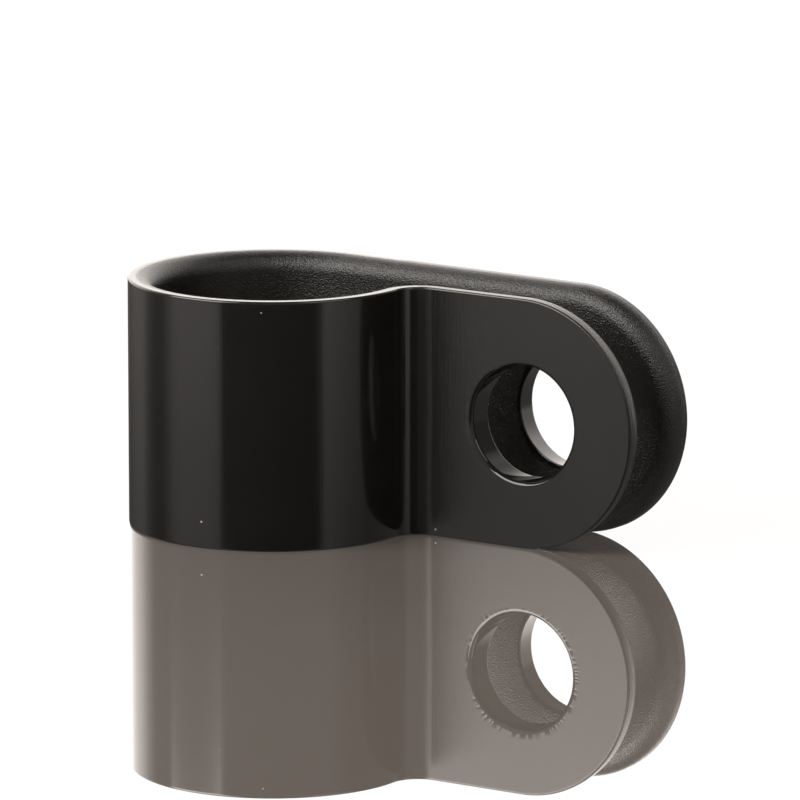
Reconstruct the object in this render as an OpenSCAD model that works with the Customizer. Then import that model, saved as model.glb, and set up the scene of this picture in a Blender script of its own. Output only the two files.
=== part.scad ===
// P clip: a strap moulded in one piece of nylon. It runs straight along the
// fixing face, goes round the cable as a loop, turns out through a tight neck
// bend and comes back as a second ear facing the first. One screw passes both.
// Origin: on the axis of the loop, in the middle of the strap's width.
// +X runs from the loop to the ears, +Y to the fixing face, +Z along the cable.
// All sizes are in millimetres.

/* [Loop] */
// Inside diameter of the cable loop as moulded, with the ears apart
loop_bore_d = 9; // [8:0.5:12]
// Concave radius of the outer face where the loop turns into the front ear
neck_r = 1; // [0.5:0.1:1.6]
// How far the loop runs on past its side, in degrees, before the neck bend
neck_turn = 2.66; // [0:0.02:6]

/* [Strap] */
// Width of the strap, which is the length of cable it covers
strap_w = 9.5; // [8:0.5:14]
// Thickness of the strap
wall = 1; // [0.8:0.1:1.4]
// Square part of the strap's edge, measured in from the outer face
edge_land = 0.3; // [0.1:0.05:0.5]

/* [Ears] */
// Distance from the axis of the loop to the axis of the screw hole
ear_reach = 10.4; // [10:0.2:16]
// Angle by which the front ear closes on the rear one towards its tip
ear_toe = 1.85; // [0:0.05:3]

/* [Screw hole] */
// Diameter of the hole through both ears, a clearance for an M4 screw
hole_d = 4.4; // [3:0.1:6]
// Width of the broken edge round the hole on each outer face
hole_break = 0.15; // [0.05:0.01:0.3]

/* [Hidden] */

facets_round = 96;
facets_edge = 32;
part_color = [0.05, 0.05, 0.055];

// The strap's section is a D: a flat outer face with square corners, and the
// inner face rolled over to both edges by this radius
edge_round = wall - edge_land;
loop_r = loop_bore_d / 2 + wall;
strap_mid = strap_w / 2;

// Centre of the neck bend in the frame of the front ear, where x runs along
// the ear and y is its normal. The bend touches the loop from outside.
bend_x = (loop_r + neck_r) * cos(neck_turn - ear_toe);
bend_y = (loop_r + neck_r) * sin(neck_turn - ear_toe);

// Where the screw's axis meets the outer face of the front ear
front_hole_y = (bend_y + neck_r + ear_reach * sin(ear_toe)) / cos(ear_toe);

// Run of the front ear from the end of the bend to the middle of the hole
hole_along = ear_reach * cos(ear_toe) + front_hole_y * sin(ear_toe);
front_run = hole_along - bend_x;

// Past the faces, so that no cut ends flush with a face
overcut = 1;

// Section of the strap: x is the depth from the outer face, y goes across
// from the middle of the width
module strap_section() {
    difference() {
        translate([0, -strap_mid])
            square([wall, strap_w]);
        for (side = [0, 1])
            mirror([0, side])
                translate([edge_land, strap_mid - edge_round])
                    difference() {
                        square(edge_round + overcut);
                        circle(r = edge_round, $fn = facets_edge);
                    }
    }
}

// Straight strap along +X with its outer face on y = 0 and its depth to +Y
module strap_run(length) {
    rotate([90, 0, 90])
        linear_extrude(height = length)
            strap_section();
}

// Round end of an ear: half of the section turned about the middle of the end
module ear_end() {
    rotate([-90, 0, 0])
        rotate_extrude(angle = 180, start = -90, $fn = facets_round)
            intersection() {
                mirror([1, -1])
                    strap_section();
                square([strap_mid, wall]);
            }
}

// Loop: one arc from the rear strand round to the neck, the strap's outer
// face outwards. What it leaves open is the throat, between the two ears.
module loop() {
    rotate_extrude(angle = 270 + neck_turn, start = 90, $fn = facets_round)
        translate([loop_r, 0])
            mirror([1, 0])
                strap_section();
}

// Neck bend: the arc that turns the strap out of the loop and into the front
// ear, the strap's outer face inwards
module neck_bend() {
    rotate_extrude(angle = ear_toe - neck_turn - 90, start = 180, $fn = facets_round)
        translate([neck_r, 0])
            strap_section();
}

// Ear on a straight run of strap
module ear(run) {
    strap_run(run);
    translate([run, 0, 0])
        ear_end();
}

// Rear strand and ear, which leave the loop along the fixing face
module rear_ear() {
    translate([0, loop_r, 0])
        mirror([0, 1, 0])
            ear(ear_reach);
}

// Neck and front ear. The bend touches the loop on the line through their
// centres, and the ear leaves the bend at the toe angle.
module front_ear() {
    rotate([0, 0, neck_turn])
        translate([loop_r + neck_r, 0, 0]) {
            neck_bend();
            rotate([0, 0, ear_toe - neck_turn])
                translate([0, neck_r, 0])
                    ear(front_run);
        }
}

// Cutter for the screw hole: one straight bore through both ears
module screw_bore() {
    translate([ear_reach, loop_r + overcut, 0])
        rotate([90, 0, 0])
            cylinder(d = hole_d, h = loop_r - front_hole_y + 2 * overcut, $fn = facets_round);
}

// Cone that breaks the edge of the hole, its wide end on y = 0
module edge_cone() {
    rotate([-90, 0, 0])
        translate([0, 0, -hole_break])
            cylinder(
                r1 = hole_d / 2 + 2 * hole_break,
                r2 = hole_d / 2 - hole_break,
                h = 3 * hole_break,
                $fn = facets_round
            );
}

// The whole clip
module p_clip() {
    color(part_color)
        difference() {
            union() {
                loop();
                rear_ear();
                front_ear();
            }
            screw_bore();
            translate([ear_reach, loop_r, 0])
                mirror([0, 1, 0])
                    edge_cone();
            translate([ear_reach, front_hole_y, 0])
                rotate([0, 0, ear_toe])
                    edge_cone();
        }
}

p_clip();
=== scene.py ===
"""A moulded nylon P clip, standing on a pale floor in soft studio light.

The strap is one closed skin: its D section is carried along the rear strand,
the loop and the neck, and round both ears, whose flat faces are filled between
the edge and the screw hole. Lengths are in millimetres until the mesh is made.
"""

import logging
import math
from dataclasses import dataclass, field

import bmesh
import bpy
import numpy as np
from mathutils import Matrix, Vector

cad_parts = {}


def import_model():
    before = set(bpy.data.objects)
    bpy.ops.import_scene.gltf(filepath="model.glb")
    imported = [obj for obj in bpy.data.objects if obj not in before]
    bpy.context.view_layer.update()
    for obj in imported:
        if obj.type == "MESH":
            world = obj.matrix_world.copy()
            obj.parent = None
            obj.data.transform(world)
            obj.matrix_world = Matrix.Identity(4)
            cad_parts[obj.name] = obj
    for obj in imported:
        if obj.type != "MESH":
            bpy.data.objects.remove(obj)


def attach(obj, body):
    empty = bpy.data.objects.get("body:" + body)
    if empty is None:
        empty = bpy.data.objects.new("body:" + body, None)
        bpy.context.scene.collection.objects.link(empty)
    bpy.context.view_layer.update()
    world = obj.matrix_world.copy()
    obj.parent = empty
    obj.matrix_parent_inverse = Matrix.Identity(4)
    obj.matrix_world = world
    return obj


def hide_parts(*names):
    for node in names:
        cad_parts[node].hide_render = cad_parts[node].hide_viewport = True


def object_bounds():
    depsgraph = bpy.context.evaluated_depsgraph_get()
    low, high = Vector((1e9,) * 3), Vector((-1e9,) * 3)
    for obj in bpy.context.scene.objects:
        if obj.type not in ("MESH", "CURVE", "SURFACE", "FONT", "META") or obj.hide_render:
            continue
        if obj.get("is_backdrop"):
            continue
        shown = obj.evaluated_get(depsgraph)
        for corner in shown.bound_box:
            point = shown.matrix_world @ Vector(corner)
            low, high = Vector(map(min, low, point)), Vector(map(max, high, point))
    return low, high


LOG = logging.getLogger("p_clip")
MM = 0.001

# Heading of the camera in the frame of the clip, in degrees
HEADING = -35.19


@dataclass(frozen=True)
class StrapSection:
    """The D section of the strap: flat outside, rolled edges inside.

    Attributes:
        half_width: Half the strap's width.
        wall: Thickness of the strap.
        land: Square part of the edge, measured in from the outer face.
        corner: Radius that softens the outer corners.
        margin: Distance in from the edge at which the edge band ends.
        hold: Width of the narrow strips that keep each shaded edge crisp.
    """

    half_width: float = 4.75
    wall: float = 1.0
    land: float = 0.3
    corner: float = 0.08
    margin: float = 0.8
    hold: float = 0.025

    @property
    def roll(self) -> float:
        """Return the radius of the rolled inner edge."""
        return self.wall - self.land

    def edge_band(self) -> np.ndarray:
        """Return the edge band as rows of depth and distance in from the edge.

        The band leaves the outer face, turns the softened corner (a quarter
        circle), goes down the land and round the roll (a quarter circle of
        radius wall minus land), and ends on the inner face.

        Returns:
            An array of shape (n, 2), from the outer face to the inner one.
        """
        turn = np.radians(np.linspace(0, 90, 6))
        corner = np.column_stack([self.corner * (1 - np.cos(turn)), self.corner * (1 - np.sin(turn))])
        turn = np.radians(np.linspace(0, 90, 15))
        roll = np.column_stack([self.land + self.roll * np.sin(turn), self.roll * (1 - np.cos(turn))])
        start = [[0, self.margin], [0, self.corner + self.hold]]
        land = [[self.corner + self.hold, 0], [self.land - self.hold, 0]]
        end = [[self.wall, self.roll + self.hold], [self.wall, self.margin]]
        return np.vstack([start, corner, land, roll, end])


@dataclass(frozen=True)
class Place:
    """A point on the outer face with its directions, in the plane of the loop.

    Attributes:
        point: Point on the outer face.
        along: Direction along the strap.
        inward: Direction from the outer face into the wall.
    """

    point: tuple[float, float]
    along: tuple[float, float]
    inward: tuple[float, float]


@dataclass(frozen=True)
class ClipPath:
    """The line of the strap's outer face: rear strand, loop, neck, front ear.

    Attributes:
        loop_r: Outer radius of the loop.
        neck_r: Concave radius of the outer face at the neck.
        neck_turn: How far the loop runs past its side, in degrees.
        toe: Angle by which the front ear closes on the rear one, in degrees.
        reach: Distance from the loop's axis to the screw's axis.
        patch: Distance from the screw's axis back to where an ear begins.
    """

    loop_r: float = 5.5
    neck_r: float = 1.0
    neck_turn: float = 2.66
    toe: float = 1.85
    reach: float = 10.4
    patch: float = 3.4

    def bend_centre(self) -> np.ndarray:
        """Return the centre of the neck bend, which touches the loop."""
        turn = math.radians(self.neck_turn)
        return (self.loop_r + self.neck_r) * np.array([math.cos(turn), math.sin(turn)])

    def rear_place(self) -> Place:
        """Return the place of the screw's axis on the rear ear."""
        return Place((self.reach, self.loop_r), (1.0, 0.0), (0.0, -1.0))

    def front_place(self) -> Place:
        """Return the place of the screw's axis on the front ear.

        The ear's outer face is the line that leaves the bend at the toe angle;
        the screw's axis meets it where x equals the reach.
        """
        toe = math.radians(self.toe)
        start = self.bend_centre() + self.neck_r * np.array([-math.sin(toe), math.cos(toe)])
        y = start[1] + (self.reach - start[0]) * math.tan(toe)
        return Place((self.reach, float(y)), (math.cos(toe), math.sin(toe)), (-math.sin(toe), math.cos(toe)))

    def stations(self) -> tuple[np.ndarray, np.ndarray]:
        """Return points on the outer face and inward directions, in order.

        Arcs are stepped by angle: a point is the centre plus the radius times
        the cosine and sine of the angle.

        Returns:
            Two arrays of shape (n, 2): points and inward unit directions.
        """
        rear_x = np.linspace(self.reach - self.patch, 0, 24)[:-1]
        rear = np.column_stack([rear_x, np.full_like(rear_x, self.loop_r)])
        rear_in = np.tile([0.0, -1.0], (len(rear_x), 1))

        turn = np.radians(np.linspace(90, 360 + self.neck_turn, 181))
        ring = np.column_stack([np.cos(turn), np.sin(turn)])

        bend = np.radians(np.linspace(180 + self.neck_turn, 90 + self.toe, 33))
        bend_ring = np.column_stack([np.cos(bend), np.sin(bend)])[1:]

        place = self.front_place()
        end = np.array(place.point) - self.patch * np.array(place.along)
        last = self.bend_centre() + self.neck_r * bend_ring[-1]
        steps = np.linspace(0, 1, 5)[1:, None]
        front = last + steps * (end - last)
        front_in = np.tile(place.inward, (len(front), 1))

        points = np.vstack([rear, self.loop_r * ring, self.bend_centre() + self.neck_r * bend_ring, front])
        inward = np.vstack([rear_in, -ring, bend_ring, front_in])
        return points, inward


@dataclass
class Skin:
    """Collects grids of points into one skin.

    Attributes:
        points: Blocks of points in millimetres.
        grain: Blocks of one number a point: 1 on the matt faces, 0 elsewhere.
        satin: Blocks of one number a point: how satin the smooth faces are.
        quads: Blocks of faces as point numbers.
        count: Points so far.
    """

    points: list[np.ndarray] = field(default_factory=list)
    grain: list[np.ndarray] = field(default_factory=list)
    satin: list[np.ndarray] = field(default_factory=list)
    quads: list[np.ndarray] = field(default_factory=list)
    count: int = 0

    def grid(
        self,
        points: np.ndarray,
        grain: np.ndarray,
        satin: np.ndarray,
        wrap: tuple[bool, bool] = (False, False),
    ) -> None:
        """Add a grid of points and the faces between its neighbours.

        Args:
            points: Array of shape (rows, columns, 3).
            grain: Matt share of each point, broadcast to (rows, columns).
            satin: Satin share of each point, broadcast in the same way.
            wrap: Whether the rows, and the columns, close on themselves.
        """
        rows, columns = points.shape[:2]
        number = np.arange(rows * columns).reshape(rows, columns) + self.count
        if wrap[0]:
            number = np.vstack([number, number[:1]])
        if wrap[1]:
            number = np.hstack([number, number[:, :1]])
        faces = np.stack([number[:-1, :-1], number[1:, :-1], number[1:, 1:], number[:-1, 1:]], axis=-1)
        self.points.append(points.reshape(-1, 3))
        self.grain.append(np.broadcast_to(grain, (rows, columns)).reshape(-1))
        self.satin.append(np.broadcast_to(satin, (rows, columns)).reshape(-1))
        self.quads.append(faces.reshape(-1, 4))
        self.count += rows * columns

    def to_object(self, name: str) -> bpy.types.Object:
        """Make one closed mesh of the blocks, in metres.

        Args:
            name: Name of the new object.

        Returns:
            The object, with smooth faces that point outwards.
        """
        points = np.vstack(self.points) * MM
        quads = np.vstack(self.quads)
        mesh = bpy.data.meshes.new(name)
        mesh.from_pydata(points.tolist(), [], quads.tolist())
        for title, blocks in (("grain", self.grain), ("satin", self.satin)):
            layer = mesh.attributes.new(title, "FLOAT", "POINT")
            layer.data.foreach_set("value", np.concatenate(blocks).astype(np.float32))
        work = bmesh.new()
        work.from_mesh(mesh)
        bmesh.ops.remove_doubles(work, verts=work.verts[:], dist=1e-7)
        bmesh.ops.recalc_face_normals(work, faces=work.faces[:])
        work.to_mesh(mesh)
        work.free()
        mesh.polygons.foreach_set("use_smooth", np.ones(len(mesh.polygons), dtype=bool))
        mesh.update()
        thing = bpy.data.objects.new(name, mesh)
        bpy.context.scene.collection.objects.link(thing)
        return thing


@dataclass(frozen=True)
class ScrewHole:
    """The screw hole: a bore with a rounded outer edge and a little draft.

    Attributes:
        radius: Radius half way through the ear.
        lip: Radius of the rounded outer edge.
        draft: How much wider the bore is at the outer face than at the inner.
        inner_lip: Radius of the rounded inner edge.
        hold: Width of the strips that keep each shaded edge crisp.
    """

    radius: float = 2.2
    lip: float = 0.15
    draft: float = 0.08
    inner_lip: float = 0.04
    hold: float = 0.02

    def profile(self, wall: float) -> np.ndarray:
        """Return rows of depth and radius, from the outer to the inner face.

        Each edge is a quarter circle. Between them the radius falls evenly
        with the depth, by the draft over the whole wall.

        Args:
            wall: Thickness of the ear.

        Returns:
            An array of shape (n, 2).
        """
        turn = np.radians(np.linspace(0, 90, 9))
        rim = np.column_stack([self.lip * (1 - np.cos(turn)), self.lip * (1 - np.sin(turn))])
        turn = np.radians(np.linspace(90, 0, 5))
        depth, wider = self.inner_lip * (1 - np.cos(turn)), self.inner_lip * (1 - np.sin(turn))
        end = np.column_stack([wall - depth, wider])
        straight = [[self.lip + self.hold, 0], [0.5 * wall, 0], [wall - self.inner_lip - self.hold, 0]]
        first, last = [[0, self.lip + self.hold]], [[wall, self.inner_lip + self.hold]]
        rows = np.vstack([first, rim, straight, end, last])
        rows[:, 1] += self.radius + self.draft * (0.5 - rows[:, 0] / wall)
        return rows


@dataclass(frozen=True)
class Ear:
    """A round-ended ear: its edge band, its two faces and its hole wall.

    Attributes:
        place: Where the screw's axis meets the outer face.
        tilt: Angle between the screw's axis and the ear's normal, in degrees.
        section: Section of the strap.
        hole: The screw hole.
        patch: Distance from the screw's axis back to where the ear begins.
        fill_rings: Rings of points between the edge and the hole on each face.
    """

    place: Place
    tilt: float
    section: StrapSection
    hole: ScrewHole
    patch: float
    fill_rings: int = 9

    def locate(self, along: np.ndarray, across: np.ndarray, depth: np.ndarray) -> np.ndarray:
        """Turn ear coordinates into clip coordinates.

        Args:
            along: Distance past the screw's axis, along the ear.
            across: Distance across the strap.
            depth: Depth from the outer face.

        Returns:
            Points whose last axis is x, y, z.
        """
        along, across, depth = np.broadcast_arrays(along, across, depth)
        point, forward, inward = self.place.point, self.place.along, self.place.inward
        x = point[0] + along * forward[0] + depth * inward[0]
        y = point[1] + along * forward[1] + depth * inward[1]
        return np.stack([x, y, across], axis=-1)

    def outline(self, inset: np.ndarray) -> tuple[np.ndarray, np.ndarray]:
        """Return the edge of the ear, moved in by each inset.

        The edge runs straight, round a half circle about the screw's axis and
        straight back; an inset takes the same length off every radius.

        Args:
            inset: Distances in from the edge.

        Returns:
            Arrays along and across, of shape (points of the edge, insets).
        """
        half = self.section.half_width - np.asarray(inset)[None, :]
        straight = np.linspace(-self.patch, 0, 25)[:-1, None]
        turn = np.radians(np.linspace(-90, 90, 121))[:, None]
        ones = np.ones_like(half)
        along = np.vstack([straight * ones, half * np.cos(turn), straight[::-1] * ones])
        side = half * np.ones_like(straight)
        across = np.vstack([-side, half * np.sin(turn), side])
        return along, across

    def add_to(self, skin: Skin, column: np.ndarray) -> None:
        """Add the ear's surfaces to a skin.

        Args:
            skin: Skin that collects them.
            column: Distances across the strap where its faces are divided.
        """
        band = self.section.edge_band()
        along, across = self.outline(band[:, 1])
        edge = self.locate(along, across, band[None, :, 0])
        skin.grid(edge, band_grain(self.section)[None, :], np.ones((1, 1)))

        rows = self.hole.profile(self.section.wall)
        rim_along, rim_across = along[:, 0], across[:, 0]
        back = column[::-1][1:-1]
        ring_along = np.concatenate([rim_along, np.full(len(back), -self.patch)])
        ring_across = np.concatenate([rim_across, back])
        angle = np.arctan2(ring_across, ring_along)[:, None]
        lean = math.radians(self.tilt)
        wall_along = rows[None, :, 0] * math.tan(lean) + rows[None, :, 1] * np.cos(angle) / math.cos(lean)
        wall_across = rows[None, :, 1] * np.sin(angle)
        bore = self.locate(wall_along, wall_across, rows[None, :, 0])
        skin.grid(bore, np.zeros((1, 1)), np.zeros((1, 1)), (True, False))

        share = np.linspace(0, 1, self.fill_rings)[None, :]
        fade = np.minimum((self.fill_rings - 1) * share, 1)
        for end, depth, matt in ((0, 0.0, 0.0), (-1, self.section.wall, 1.0)):
            fill_along = wall_along[:, [end]] * (1 - share) + ring_along[:, None] * share
            fill_across = wall_across[:, [end]] * (1 - share) + ring_across[:, None] * share
            face = self.locate(fill_along, fill_across, np.float64(depth))
            skin.grid(face, matt * fade, np.ones((1, 1)), (True, False))


def band_grain(section: StrapSection) -> np.ndarray:
    """Return the matt share of each row of the edge band.

    Args:
        section: Section of the strap.

    Returns:
        0 on the outer face and its corner, 1 from the land inwards.
    """
    band = section.edge_band()
    return np.interp(band[:, 0], [section.corner, section.land, section.land + 0.1], [0.0, 0.4, 1.0])


@dataclass(frozen=True)
class ClipBody:
    """The whole strap as one closed skin.

    Attributes:
        section: Section of the strap.
        path: Line of the strap's outer face.
        hole: The screw hole through both ears.
        columns: Divisions of the flat faces across the strap.
        straight_satin: Satin share of the ears and straight runs.
        loop_satin: Satin share of the loop.
        satin_from: How far outside the loop the straight runs count from.
    """

    section: StrapSection = StrapSection()
    path: ClipPath = ClipPath()
    hole: ScrewHole = ScrewHole()
    columns: int = 33
    straight_satin: float = 1.0
    loop_satin: float = 0.2
    satin_from: float = 0.5

    def column(self) -> np.ndarray:
        """Return the divisions of the flat faces across the strap.

        Returns:
            Distances across the strap, from edge band to edge band.
        """
        inner = self.section.half_width - self.section.margin
        return np.linspace(-inner, inner, self.columns)

    def ring(self) -> tuple[np.ndarray, np.ndarray, np.ndarray]:
        """Return the closed section as three rows of numbers.

        Returns:
            Depth, distance across the strap and matt share of each point.
        """
        band, matt = self.section.edge_band(), band_grain(self.section)
        half, column = self.section.half_width, self.column()
        middle = column[1:-1]
        flat = np.ones(len(middle))
        depth = np.concatenate([0 * flat, band[:, 0], self.section.wall * flat, band[::-1, 0]])
        across = np.concatenate([middle, half - band[:, 1], middle[::-1], -half + band[::-1, 1]])
        grain = np.concatenate([0 * flat, matt, flat, matt[::-1]])
        return depth, across, grain

    def build(self) -> bpy.types.Object:
        """Build the strap, its ears and its screw hole.

        A point of the strap is the station's point plus the inward direction
        times the depth, at its distance across.

        Returns:
            The finished object.
        """
        skin = Skin()
        points, inward = self.path.stations()
        depth, across, grain = self.ring()
        flat = points[:, None, :] + inward[:, None, :] * depth[None, :, None]
        high = np.broadcast_to(across[None, :, None], (*flat.shape[:2], 1))
        away = np.hypot(points[:, 0], points[:, 1]) > self.path.loop_r + self.satin_from
        satin = np.where(away, self.straight_satin, self.loop_satin)
        skin.grid(np.concatenate([flat, high], axis=-1), grain[None, :], satin[:, None], (False, True))
        for place, tilt in ((self.path.rear_place(), 0.0), (self.path.front_place(), self.path.toe)):
            Ear(place, tilt, self.section, self.hole, self.path.patch).add_to(skin, self.column())
        piece = skin.to_object("strap")
        LOG.info("strap: %d points, %d faces", len(piece.data.vertices), len(piece.data.polygons))
        return piece


class Nodes:
    """Builds and joins shader nodes with few words."""

    def __init__(self, tree: bpy.types.NodeTree) -> None:
        """Keep the tree that the nodes go into.

        Args:
            tree: Node tree of a material or a world.
        """
        self.tree = tree

    def add(self, kind: str, inputs: dict | None = None, **settings: object) -> bpy.types.Node:
        """Add a node.

        Args:
            kind: Type of the node without its "ShaderNode".
            inputs: Values of, or sockets that feed, its inputs.
            settings: Attributes of the node.

        Returns:
            The new node.
        """
        node = self.tree.nodes.new("ShaderNode" + kind)
        for key, value in settings.items():
            setattr(node, key, value)
        for key, value in (inputs or {}).items():
            if isinstance(value, bpy.types.NodeSocket):
                self.tree.links.new(value, node.inputs[key])
            else:
                node.inputs[key].default_value = value
        return node

    def math(self, operation: str, first: object, second: object = 0.0) -> bpy.types.NodeSocket:
        """Add a sum, product or other operation on two numbers.

        Args:
            operation: Name of the operation.
            first: Number or socket.
            second: Number or socket.

        Returns:
            The socket with the result.
        """
        return self.add("Math", {0: first, 1: second}, operation=operation).outputs[0]

    def spread(
        self, value: object, start: tuple[float, float], end: tuple[float, float]
    ) -> bpy.types.NodeSocket:
        """Add a map from one range to another, kept inside the second.

        Args:
            value: Socket to map.
            start: Range that comes in.
            end: Range that goes out.

        Returns:
            The socket with the result.
        """
        inputs = {"Value": value}
        inputs |= {"From Min": start[0], "From Max": start[1]}
        inputs |= {"To Min": end[0], "To Max": end[1]}
        return self.add("MapRange", inputs).outputs["Result"]


@dataclass(frozen=True)
class BlackNylon:
    """Black nylon: smooth outer faces, spark-eroded grain on the others.

    Attributes:
        name: Name of the material.
        colour: Mean colour of the nylon.
        dust: Colour of the dust.
        grain_size: Size of the grain's bumps.
        grain_depth: Depth of the grain.
        streak_size: Width of the streaks.
        streak_depth: Depth of the streaks.
        speck_spacing: Size of the cells that may hold a speck of dust.
    """

    name: str = "black_nylon"
    colour: tuple[float, float, float] = (0.0046, 0.0043, 0.0041)
    dust: tuple[float, float, float] = (0.3, 0.29, 0.28)
    grain_size: float = 0.05
    grain_depth: float = 0.03
    streak_size: float = 0.07
    streak_depth: float = 0.008
    speck_spacing: float = 0.75

    def build(self) -> bpy.types.Material:
        """Build the material.

        Returns:
            The nylon, which reads the piece's grain and satin shares.
        """
        material = bpy.data.materials.new(self.name)
        material.use_nodes = True
        shader = material.node_tree.nodes["Principled BSDF"]
        nodes = Nodes(material.node_tree)
        links = material.node_tree.links
        coords = nodes.add("TexCoord").outputs["Object"]
        matt = nodes.add("Attribute", attribute_name="grain").outputs["Fac"]
        satin = nodes.add("Attribute", attribute_name="satin").outputs["Fac"]
        smooth = nodes.math("SUBTRACT", 1.0, matt)

        # the black drifts a little from place to place in the moulding
        drift = nodes.add("TexNoise", {"Vector": coords, "Scale": 1 / (2.5 * MM), "Detail": 2.0})
        low, high = (tuple(share * part for part in self.colour) + (1,) for share in (0.75, 1.3))
        black = nodes.add("Mix", {"Factor": drift.outputs["Fac"], 6: low, 7: high}, data_type="RGBA")

        # dust: a few small pale specks, one in some of the cells
        cell = nodes.add("TexVoronoi", {"Vector": coords, "Scale": 1 / (self.speck_spacing * MM)})
        chance = nodes.add("SeparateColor", {"Color": cell.outputs["Color"]})
        size = nodes.spread(chance.outputs["Green"], (0, 1), (0.02, 0.06))
        near = nodes.math("LESS_THAN", cell.outputs["Distance"], size)
        rare = nodes.math("GREATER_THAN", chance.outputs["Red"], 0.72)
        speck = nodes.math("MULTIPLY", nodes.math("MULTIPLY", near, rare), smooth)
        colour = nodes.add(
            "Mix", {"Factor": speck, 6: black.outputs[2], 7: (*self.dust, 1)}, data_type="RGBA"
        )
        links.new(colour.outputs[2], shader.inputs["Base Color"])

        # spark-eroded grain: rounded bumps with finer ones on them
        per_metre = 1 / (self.grain_size * MM)
        coarse = nodes.add(
            "TexNoise", {"Vector": coords, "Scale": per_metre, "Detail": 2.0, "Roughness": 0.5}
        )
        cells = nodes.add("TexVoronoi", {"Vector": coords, "Scale": 0.8 * per_metre}, feature="SMOOTH_F1")
        pits = nodes.math("MULTIPLY", cells.outputs["Distance"], 0.5)
        height = nodes.math("ADD", coarse.outputs["Fac"], pits)
        grain = nodes.add(
            "Bump",
            {"Height": height, "Distance": self.grain_depth * MM, "Strength": matt},
        )

        # streaks across the strap, left by polishing the mould
        stretch = nodes.add("Mapping", {"Vector": coords, "Scale": (1.0, 1.0, 0.03)})
        line = nodes.add(
            "TexNoise",
            {
                "Vector": stretch.outputs[0],
                "Scale": 1 / (self.streak_size * MM),
                "Detail": 3.0,
                "Roughness": 0.6,
            },
        )
        streak = nodes.add(
            "Bump",
            {
                "Height": nodes.math("MULTIPLY", line.outputs["Fac"], nodes.math("MULTIPLY", smooth, satin)),
                "Distance": self.streak_depth * MM,
                "Strength": 1.0,
                "Normal": grain.outputs["Normal"],
            },
        )
        links.new(streak.outputs["Normal"], shader.inputs["Normal"])
        rough_smooth = nodes.spread(satin, (0, 1), (0.06, 0.27))
        rough = nodes.add("Mix", {"Factor": matt, "A": rough_smooth, "B": 0.28}, data_type="FLOAT")
        links.new(rough.outputs["Result"], shader.inputs["Roughness"])
        return material


@dataclass(frozen=True)
class StudioCamera:
    """The camera, given by where it looks from in the frame of the clip.

    Attributes:
        distance: Distance from the origin of the clip.
        elevation: Angle that it looks down by, in degrees.
        heading: Heading that it looks in, in degrees.
        lens: Focal length on a sensor 36 mm wide.
        aside: How far the camera stands to the right of the loop's axis.
        raised: How far it stands above its line to the origin of the clip.
    """

    distance: float = 317.33
    elevation: float = 11.55
    heading: float = HEADING
    lens: float = 377.1585
    aside: float = 4.7838
    raised: float = -0.0708

    def build(self) -> bpy.types.Object:
        """Build the camera and make it the scene's camera.

        Returns:
            The camera.
        """
        turn, rise = math.radians(self.heading), math.radians(self.elevation)
        ahead = Vector((math.sin(turn), math.cos(turn), 0))
        right = Vector((math.cos(turn), -math.sin(turn), 0))
        forward = ahead * math.cos(rise) - Vector((0, 0, math.sin(rise)))
        up = ahead * math.sin(rise) + Vector((0, 0, math.cos(rise)))
        place = self.aside * right + self.raised * up - self.distance * forward
        data = bpy.data.cameras.new("camera")
        data.lens = self.lens
        data.clip_start, data.clip_end = 0.01, 100
        camera = bpy.data.objects.new("camera", data)
        axes = Matrix((right, up, -forward)).transposed().to_4x4()
        axes.translation = place * MM
        camera.matrix_world = axes
        bpy.context.scene.collection.objects.link(camera)
        bpy.context.scene.camera = camera
        return camera


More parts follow.
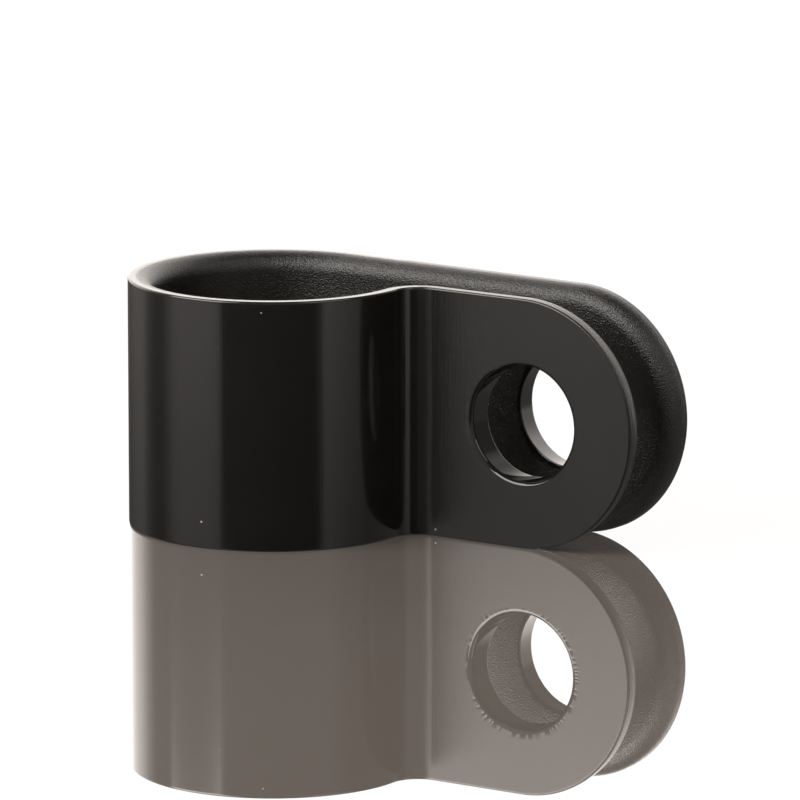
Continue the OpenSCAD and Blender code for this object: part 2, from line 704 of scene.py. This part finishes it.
@dataclass(frozen=True)
class Floor:
    """A pale glossy floor, which mirrors what stands on it at low angles.

    Attributes:
        height: Height of the floor.
        half_size: Half the length of its sides.
        gloss: Largest share of the mirror.
        gloss_from: Facing value at which the mirror begins.
        gloss_to: Facing value at which the mirror is full.
        glow: Strength of the floor's own light.
        tint: Colour of the floor.
        near: Distance from the origin within which it darkens the reflections that pass it, as painted shade.
        far: Distance from the origin past which it darkens nothing.
        painted_shade_level: What it lets through within the near distance: painted shade on the clip's reflections.
    """

    height: float = -4.75
    half_size: float = 4000.0
    gloss: float = 0.935
    gloss_from: float = 0.1
    gloss_to: float = 0.75
    glow: float = 0.3
    tint: tuple[float, float, float] = (1.0, 0.86, 0.76)
    near: float = 6.0
    far: float = 60.0
    painted_shade_level: float = 0.55

    def build(self) -> bpy.types.Object:
        """Build the floor.

        Returns:
            The floor, staged.
        """
        side, z = self.half_size * MM, self.height * MM
        mesh = bpy.data.meshes.new("floor")
        corners = [(-side, -side, z), (side, -side, z), (side, side, z), (-side, side, z)]
        mesh.from_pydata(corners, [], [(0, 1, 2, 3)])
        floor = bpy.data.objects.new("floor", mesh)
        bpy.context.scene.collection.objects.link(floor)
        mesh.materials.append(self.finish())
        floor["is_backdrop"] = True
        return floor

    def finish(self) -> bpy.types.Material:
        """Build the floor's material.

        Returns:
            The material: a matt floor under a clear mirror, let through by
            the reflections in the clip, which it darkens near the clip as
            painted shade.
        """
        material = bpy.data.materials.new("floor")
        material.use_nodes = True
        material.node_tree.nodes.clear()
        nodes = Nodes(material.node_tree)
        glow = nodes.add("Emission", {"Color": (*self.tint, 1), "Strength": self.glow})
        matt = nodes.add("BsdfDiffuse", {"Color": (*self.tint, 1)})
        base = nodes.add("AddShader", {0: glow.outputs[0], 1: matt.outputs[0]})
        mirror = nodes.add("BsdfGlossy", {"Roughness": 0.0, "Color": (1, 1, 1, 1)})
        facing = nodes.add("LayerWeight", {"Blend": 0.5}).outputs["Facing"]
        share = nodes.add(
            "MapRange",
            {
                "Value": facing,
                "From Min": self.gloss_from,
                "From Max": self.gloss_to,
                "To Max": self.gloss,
            },
            interpolation_type="SMOOTHSTEP",
        )
        look = nodes.add("MixShader", {0: share.outputs["Result"], 1: base.outputs[0], 2: mirror.outputs[0]})
        # painted shade: reflections seen through the floor are darkened near the clip, in place of the darker floor
        # there
        coords = nodes.add("TexCoord").outputs["Object"]
        reach = nodes.add("VectorMath", {0: coords}, operation="LENGTH").outputs["Value"]
        painted_shade = nodes.spread(reach, (self.near * MM, self.far * MM), (self.painted_shade_level, 1.0))
        clear = nodes.add("BsdfTransparent", {"Color": painted_shade})
        path = nodes.add("LightPath").outputs["Is Glossy Ray"]
        mix = nodes.add("MixShader", {0: path, 1: look.outputs[0], 2: clear.outputs[0]})
        nodes.add("OutputMaterial", {"Surface": mix.outputs[0]})
        return material


@dataclass(frozen=True)
class Bearings:
    """Directions in the studio, counted from the camera's side.

    Attributes:
        heading: Heading of the camera, in degrees.
    """

    heading: float = HEADING

    def direction(self, bearing: float, elevation: float) -> Vector:
        """Return the unit vector towards a bearing and an elevation.

        Args:
            bearing: Degrees from the camera's side, positive to its right.
            elevation: Degrees above the horizon.

        Returns:
            The direction in the frame of the clip.
        """
        turn, rise, side = math.radians(self.heading), math.radians(elevation), math.radians(bearing)
        ahead = Vector((math.sin(turn), math.cos(turn), 0))
        right = Vector((math.cos(turn), -math.sin(turn), 0))
        flat = right * math.sin(side) - ahead * math.cos(side)
        return flat * math.cos(rise) + Vector((0, 0, math.sin(rise)))


@dataclass(frozen=True)
class SoftBox:
    """A soft box that faces the clip.

    Attributes:
        name: Name of the lamp.
        bearing: Middle of the box, in degrees from the camera's side.
        elevation: Middle of the box above the horizon, in degrees.
        wide: Angle that it takes up sideways, in degrees.
        high: Angle that it takes up in height, in degrees.
        level: Brightness of its face.
        tint: Colour of its light.
        distance: Distance from the clip, in millimetres.
    """

    name: str
    bearing: float
    elevation: float
    wide: float
    high: float
    level: float
    tint: tuple[float, float, float] = (1.0, 0.96, 0.92)
    distance: float = 700.0

    def build(self) -> bpy.types.Object:
        """Build the lamp.

        The energy is the level times pi times the area of the face.

        Returns:
            The lamp, hidden from the camera.
        """
        data = bpy.data.lights.new(self.name, "AREA")
        data.shape = "RECTANGLE"
        data.size = 2 * self.distance * MM * math.tan(math.radians(self.wide / 2))
        data.size_y = 2 * self.distance * MM * math.tan(math.radians(self.high / 2))
        data.energy = self.level * math.pi * data.size * data.size_y
        data.color = self.tint
        lamp = bpy.data.objects.new(self.name, data)
        away = Bearings().direction(self.bearing, self.elevation)
        side = away.cross(Vector((0, 0, 1))).normalized()
        axes = Matrix((side, side.cross(-away), away)).transposed().to_4x4()
        axes.translation = away * self.distance * MM
        lamp.matrix_world = axes
        lamp.visible_camera = False
        bpy.context.scene.collection.objects.link(lamp)
        return lamp


@dataclass(frozen=True)
class StudioTent:
    """The studio round the clip: light and dark by direction.

    Attributes:
        heading: Heading of the camera, in degrees, from which bearings count.
        below: Bearing and level of the light under the horizon.
        above: Bearing and level of the light over the horizon.
        overhead: Level straight above.
        peak: Highest level, on which the ramps are based.
        gain: Factor on every level of the tent.
        tint: Colour of the light.
    """

    heading: float = HEADING
    below: tuple[tuple[float, float], ...] = (
        (-180, 0.12),
        (-154, 0.13),
        (-138, 0.31),
        (-126, 0.46),
        (-116, 0.26),
        (-108, 0.17),
        (-98, 0.18),
        (-91, 0.42),
        (-84, 0.74),
        (-76, 0.85),
        (-52, 0.9),
        (-43, 0.75),
        (-40, 0.1),
        (33, 0.06),
        (38, 0.2),
        (42, 0.72),
        (58, 0.53),
        (68, 0.42),
        (80, 0.3),
        (120, 0.3),
        (180, 0.12),
    )
    above: tuple[tuple[float, float], ...] = (
        (-180, 2.0),
        (-130, 1.8),
        (-110, 0.4),
        (45, 0.4),
        (62, 0.18),
        (112, 0.18),
        (130, 1.8),
        (180, 2.0),
    )
    overhead: float = 0.14
    peak: float = 2.0
    gain: float = 1.27
    tint: tuple[float, float, float] = (1.0, 0.94, 0.89)

    def ramp(
        self, nodes: Nodes, share: bpy.types.NodeSocket, stops: tuple[tuple[float, float], ...]
    ) -> bpy.types.NodeSocket:
        """Build a ramp over the bearings.

        Args:
            nodes: Helper for the world's nodes.
            share: Bearing as a share of the full turn.
            stops: Bearing in degrees and level of each stop.

        Returns:
            The socket with the colour.
        """
        node = nodes.add("ValToRGB", {"Fac": share})
        marks = node.color_ramp.elements
        for bearing, _ in stops[2:]:
            marks.new((bearing + 180) / 360)
        for mark, (bearing, level) in zip(marks, stops):
            mark.position = (bearing + 180) / 360
            mark.color = (*(level / self.peak * part for part in self.tint), 1)
        return node.outputs["Color"]

    def build(self) -> bpy.types.World:
        """Build the world.

        Returns:
            The world, white where the camera and the floor's mirror see it.
        """
        world = bpy.data.worlds.new("studio")
        bpy.context.scene.world = world
        world.use_nodes = True
        nodes = Nodes(world.node_tree)
        coords = nodes.add("TexCoord").outputs["Generated"]
        turned = {"Vector": coords, "Angle": math.radians(self.heading)}
        turn = nodes.add("VectorRotate", turned, rotation_type="Z_AXIS")
        split = nodes.add("SeparateXYZ", {"Vector": turn.outputs["Vector"]})
        bearing = nodes.math("ARCTAN2", split.outputs["X"], nodes.math("MULTIPLY", split.outputs["Y"], -1.0))
        share = nodes.spread(bearing, (-math.pi, math.pi), (0, 1))
        horizon = nodes.spread(split.outputs["Z"], (-0.15, -0.03), (0, 1))
        low, high = self.ramp(nodes, share, self.below), self.ramp(nodes, share, self.above)
        sides = nodes.add("Mix", {"Factor": horizon, 6: low, 7: high}, data_type="RGBA")
        zenith = nodes.spread(split.outputs["Z"], (0.5, 0.75), (0, 1))
        top = (*(self.overhead / self.peak * part for part in self.tint), 1)
        dome = nodes.add("Mix", {"Factor": zenith, 6: sides.outputs[2], 7: top}, data_type="RGBA")
        shade = world.node_tree.nodes["Background"]
        world.node_tree.links.new(dome.outputs[2], shade.inputs["Color"])
        shade.inputs["Strength"].default_value = self.peak * self.gain
        white = nodes.add("Background", {"Color": (1, 1, 1, 1), "Strength": 1.0})
        path = nodes.add("LightPath")
        seen = nodes.math("MAXIMUM", path.outputs["Is Camera Ray"], path.outputs["Is Singular Ray"])
        mix = nodes.add("MixShader", {0: seen, 1: shade.outputs[0], 2: white.outputs[0]})
        world.node_tree.links.new(mix.outputs[0], world.node_tree.nodes["World Output"].inputs["Surface"])
        return world


def main() -> None:
    """Build the clip and its stage."""
    logging.basicConfig(level=logging.INFO, format="%(name)s: %(message)s")
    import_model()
    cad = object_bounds()
    piece = ClipBody().build()
    piece.data.materials.append(BlackNylon().build())
    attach(piece, "root")
    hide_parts("p_clip")
    Floor().build()
    StudioCamera().build()
    scene = bpy.context.scene
    scene.view_settings.view_transform = "Standard"
    StudioTent().build()
    # name, bearing, elevation, width, height and level of each box
    for box in (
        SoftBox("left_box", -66.0, 36.0, 48.0, 40.0, 8.0),
        SoftBox("right_box", 50.0, 40.0, 34.0, 36.0, 2.2),
    ):
        box.build()
    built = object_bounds()
    [[list(map(float, c)) for c in b] if b and hasattr(b[0], "__len__") else list(map(float, b)) for b in (cad, built)]


if __name__ == "__main__":
    main()
